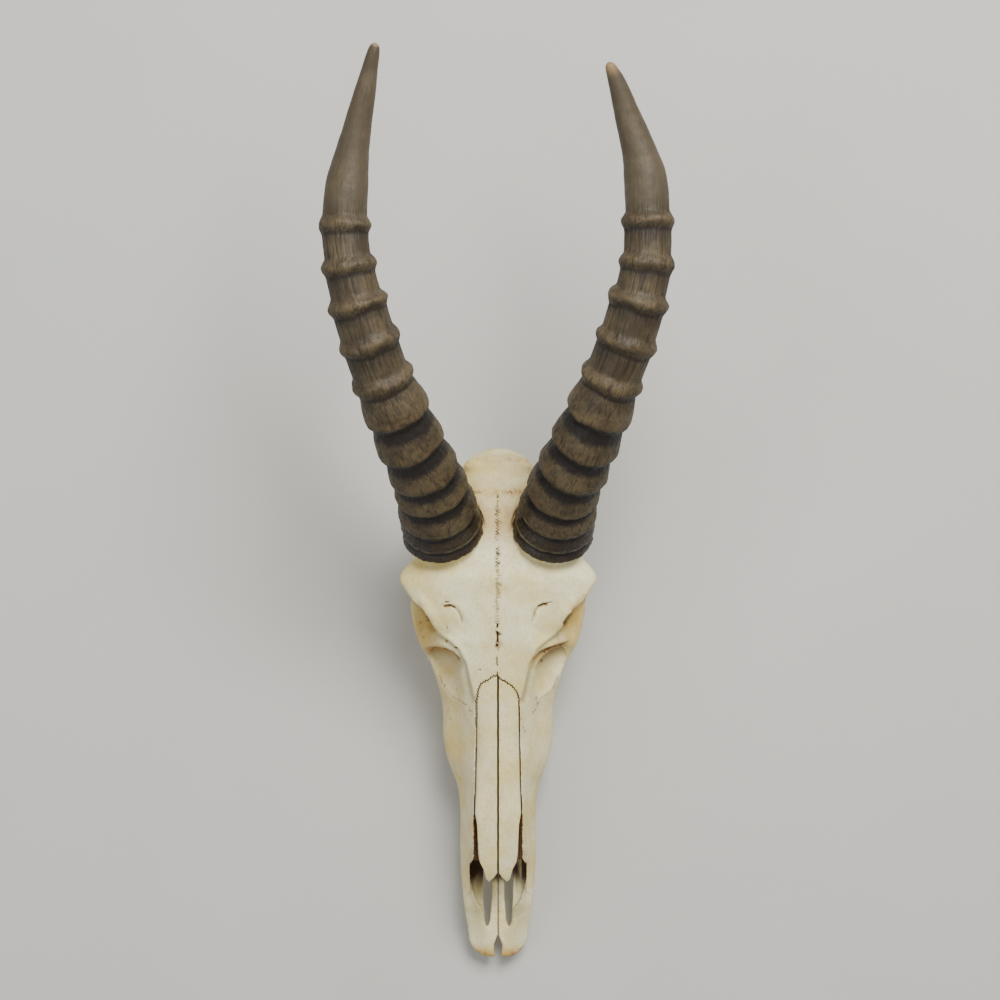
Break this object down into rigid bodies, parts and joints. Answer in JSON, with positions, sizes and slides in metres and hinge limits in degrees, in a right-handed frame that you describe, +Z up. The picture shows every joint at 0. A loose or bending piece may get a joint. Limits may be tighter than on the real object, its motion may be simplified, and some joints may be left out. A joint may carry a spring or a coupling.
{
  "type": "topi skull",
  "caption": "Dry antelope skull without its lower jaw, with a pair of long ringed horns that sweep back, out and up to smooth tips.",
  "frame": {"origin": "middle of the footprint, on the surface that the skull lies on", "axes": "+Z up, out of the top of the skull; -Y along the nose and +Y along the sweep of the horns; +X to the viewer's right when the skull is seen from above with its nose down the page, which is the side that node names call right"},
  "size_m": [0.2472, 0.663, 0.2495],
  "materials": {
    "bone": "matte",
    "horn": "satin",
    "tooth": "satin"
  },
  "bodies": {
    "root": {"cranium": "bone", "nasal_left": "bone", "nasal_right": "bone", "premaxilla_left": "bone", "premaxilla_right": "bone", "horn_left": "horn", "horn_right": "horn", "tooth_left_p2": "tooth", "tooth_left_p3": "tooth", "tooth_left_p4": "tooth", "tooth_left_m1": "tooth", "tooth_left_m2": "tooth", "tooth_left_m3": "tooth", "tooth_right_p2": "tooth", "tooth_right_p3": "tooth", "tooth_right_p4": "tooth", "tooth_right_m1": "tooth", "tooth_right_m2": "tooth", "tooth_right_m3": "tooth"}
  },
  "joints": []
}
